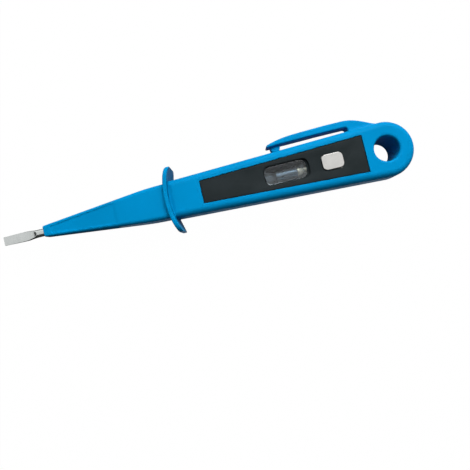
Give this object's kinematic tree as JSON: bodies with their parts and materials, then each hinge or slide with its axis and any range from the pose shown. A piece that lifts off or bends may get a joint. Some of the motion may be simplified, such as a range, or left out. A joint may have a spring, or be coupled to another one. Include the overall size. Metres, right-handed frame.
{
  "type": "voltage tester",
  "caption": "Pocket voltage tester: screwdriver blade, neon lamp under a window, sprung touch button, finger guard, hang ring and pocket clip.",
  "frame": {"origin": "on the hang hole's axis, level with the flat back face", "axes": "+X towards the blade's tip, +Z out of the window face, the clip on the -Y side"},
  "size_m": [0.15, 0.0258, 0.0142],
  "materials": {
    "body_blue": "satin moulded plastic",
    "cover_grey": "fine satin",
    "lens_clear": "clear polished plastic",
    "button_metal": "matt plated",
    "spring_steel": "bright wire",
    "strip_brass": "bright",
    "lamp_glass": "clear",
    "electrode_nickel": "dull",
    "cap_brass": "satin",
    "cap_tin": "satin",
    "resistor_coat": "lacquered ceramic",
    "blade_steel": "bright plated"
  },
  "bodies": {
    "housing": {"housing": "body_blue", "cover_plate": "cover_grey", "window_lens": "lens_clear", "contact_strip": "strip_brass", "lamp_glass": "lamp_glass", "lamp_electrodes": "electrode_nickel", "lamp_rear_cap": "cap_brass", "lamp_front_cap": "cap_tin", "lamp_cradle": "cover_grey", "resistor_rod": "resistor_coat", "resistor_rear_cap": "cap_tin", "resistor_front_cap": "cap_tin", "contact_spring": "spring_steel", "blade": "blade_steel"},
    "contact_button": {"contact_button": "button_metal", "button_spring": "spring_steel"},
    "pocket_clip": {"pocket_clip": "body_blue"}
  },
  "joints": [
    {"name": "button_press", "type": "slide", "parent": "housing", "child": "contact_button", "axis": [0, 0, -1], "range_m": [0, 0.0007], "stiffness_N_per_m": 500, "springref_m": -0.0004, "deforming": ["button_spring"]},
    {"name": "clip_flex", "type": "hinge", "parent": "housing", "child": "pocket_clip", "pos_m": [0.0138, -0.0127, 0.00625], "axis": [0, 0, -1], "range_deg": [0, 5], "stiffness_Nm_per_rad": 1, "springref_deg": -1.15}
  ]
}
